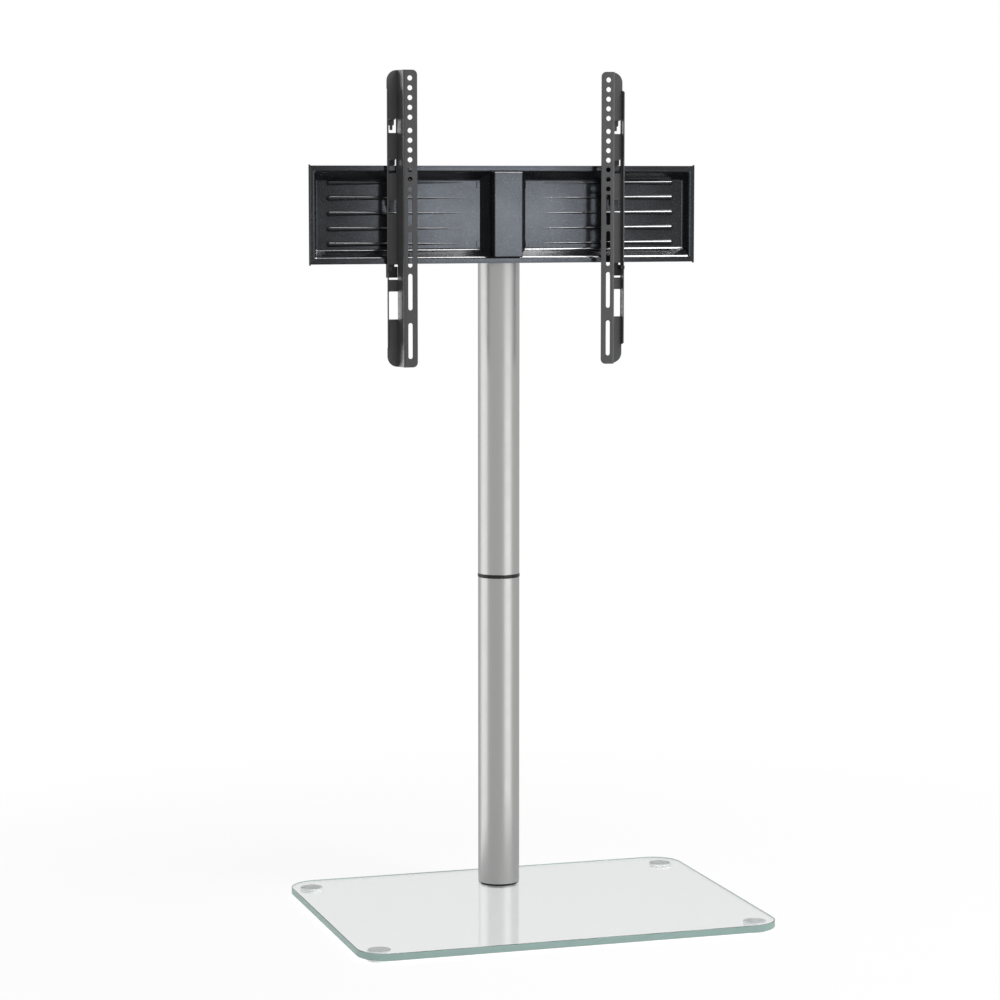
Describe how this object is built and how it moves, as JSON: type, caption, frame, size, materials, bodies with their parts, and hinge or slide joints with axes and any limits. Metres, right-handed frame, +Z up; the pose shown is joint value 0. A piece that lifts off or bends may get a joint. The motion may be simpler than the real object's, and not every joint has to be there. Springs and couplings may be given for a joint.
{
  "type": "screen stand with mount",
  "caption": "Free-standing screen stand: a round aluminium tube on a glass base plate, with a wide pressed steel mount pan and sliding hook rails with screw holes.",
  "frame": {"origin": "on the floor, under the middle of the glass plate", "axes": "+Z up along the tube, -Y towards the viewer and the screen, +X to the viewer's right"},
  "size_m": [0.6, 0.45, 1.191],
  "materials": {
    "clear_glass": "clear float glass with a faint green edge",
    "grey_plastic": "moulded grey glide",
    "black_rubber": "matt rubber",
    "black_plastic": "moulded, fine matt grain",
    "gloss_black_plastic": "moulded, satin gloss",
    "zinc_steel": "bright zinc plate",
    "satin_aluminium": "satin drawn and anodised",
    "pan_paint": "dark blue-grey textured powder coat",
    "rail_paint": "dark grey fine powder coat",
    "black_paint": "black powder coat"
  },
  "bodies": {
    "stand": {"glass_plate": "clear_glass", "foot_front_left": "grey_plastic", "foot_front_right": "grey_plastic", "foot_back_left": "grey_plastic", "foot_back_right": "grey_plastic", "base_gasket": "black_rubber", "glass_bush": "black_plastic", "under_gasket": "black_rubber", "clamp_disc": "zinc_steel", "base_bolt": "zinc_steel", "base_plug": "zinc_steel", "lower_tube": "satin_aluminium", "lower_joint_plug": "zinc_steel", "joint_ring": "gloss_black_plastic", "joint_stud": "zinc_steel", "upper_joint_plug": "zinc_steel", "upper_tube": "satin_aluminium", "tube_cap": "black_plastic", "mount_pan": "pan_paint", "centre_channel": "pan_paint", "upper_cradle": "black_plastic", "lower_cradle": "black_plastic", "upper_strap": "black_paint", "lower_strap": "black_paint", "strap_studs": "zinc_steel", "strap_washers": "zinc_steel", "strap_nuts": "zinc_steel"},
    "left_rail": {"left_rail": "rail_paint", "left_glide": "black_plastic"},
    "right_rail": {"right_rail": "rail_paint", "right_glide": "black_plastic"},
    "left_latch": {"left_latch": "black_plastic"},
    "right_latch": {"right_latch": "black_plastic"}
  },
  "joints": [
    {"name": "left_rail_slide", "type": "slide", "parent": "stand", "child": "left_rail", "axis": [1, 0, 0], "range_m": [-0.103, 0.097]},
    {"name": "right_rail_slide", "type": "slide", "parent": "stand", "child": "right_rail", "axis": [1, 0, 0], "range_m": [-0.097, 0.103]},
    {"name": "left_latch_slide", "type": "slide", "parent": "left_rail", "child": "left_latch", "axis": [0, 0, 1], "range_m": [-0.012, 0]},
    {"name": "right_latch_slide", "type": "slide", "parent": "right_rail", "child": "right_latch", "axis": [0, 0, 1], "range_m": [-0.012, 0]}
  ]
}
